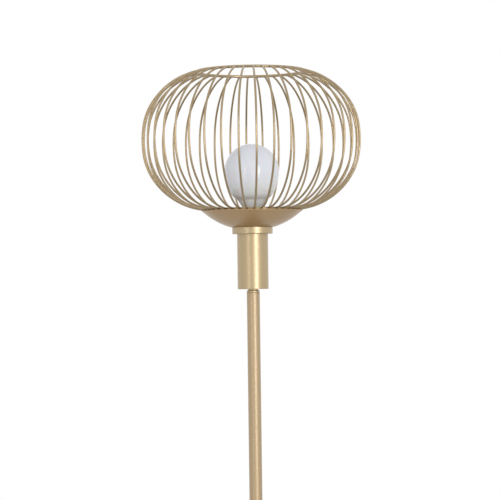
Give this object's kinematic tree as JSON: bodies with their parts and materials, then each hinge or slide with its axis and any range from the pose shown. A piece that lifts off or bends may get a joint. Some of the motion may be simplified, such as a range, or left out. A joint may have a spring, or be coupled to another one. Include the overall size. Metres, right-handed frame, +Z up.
{
  "type": "floor lamp",
  "caption": "Floor lamp with a round weighted base, a slim sectioned pole and an open bulging cage of bent wires around a globe bulb.",
  "frame": {"origin": "on the floor under the middle of the base, on the pole's axis", "axes": "+Z up along the pole, -Y the front, +Y the side where the mains lead comes in"},
  "size_m": [0.3214, 0.3214, 1.5511],
  "materials": {
    "gold_metal": "satin champagne gold, with a fine turned grain",
    "gold_dish": "satin champagne gold on spun sheet",
    "gold_wire": "satin champagne gold on drawn wire",
    "cast_weight": "rough grey casting",
    "foot_foam": "closed-cell foam",
    "grommet_plastic": "matt black",
    "zinc_steel": "zinc plated",
    "holder_plastic": "black phenolic moulding",
    "holder_ceramic": "unglazed steatite",
    "contact_brass": "bright stamped brass",
    "opal_glass": "white satin glass, not see-through",
    "cap_metal": "nickel plated",
    "cap_insulator": "black moulded glass",
    "clear_glass": "clear lead glass",
    "filament_metal": "dull coiled wire"
  },
  "bodies": {
    "lamp": {"base_cover": "gold_metal", "base_collar": "gold_metal", "lower_tube": "gold_metal", "middle_tube": "gold_metal", "upper_tube": "gold_metal", "lower_tube_foot_fitting": "gold_metal", "lower_tube_head_fitting": "gold_metal", "middle_tube_foot_fitting": "gold_metal", "middle_tube_head_fitting": "gold_metal", "upper_tube_foot_fitting": "gold_metal", "upper_tube_head_fitting": "gold_metal", "neck_washer": "gold_metal", "socket_cup": "gold_metal", "flange_ring": "gold_metal", "dish": "gold_dish", "cage_top_ring": "gold_wire", "cage_bottom_ring": "gold_wire", "cage_wires": "gold_wire", "cage_spider": "gold_wire", "base_weight": "cast_weight", "base_pad": "foot_foam", "cord_grommet": "grommet_plastic", "base_washer": "zinc_steel", "base_nut": "zinc_steel", "base_stud": "zinc_steel", "lower_joint_stud": "zinc_steel", "upper_joint_stud": "zinc_steel", "holder_nipple": "zinc_steel", "nipple_washer": "zinc_steel", "nipple_nut": "zinc_steel", "holder_lock_screw": "zinc_steel", "terminal_screws": "zinc_steel", "holder_skirt": "holder_plastic", "holder_cap": "holder_plastic", "shade_ring": "holder_plastic", "holder_core": "holder_ceramic", "contact_shell": "contact_brass", "centre_contact": "contact_brass", "contact_rivet": "contact_brass", "centre_terminal": "contact_brass", "shell_terminal": "contact_brass"},
    "bulb": {"bulb_glass": "opal_glass", "bulb_cap": "cap_metal", "bulb_insulator": "cap_insulator", "bulb_tip": "cap_metal", "bulb_stem": "clear_glass", "bulb_filament": "filament_metal"}
  },
  "joints": [
    {"name": "bulb_lift", "type": "slide", "parent": "lamp", "child": "bulb", "axis": [0, 0, 1], "range_m": [0, 0.24]}
  ]
}
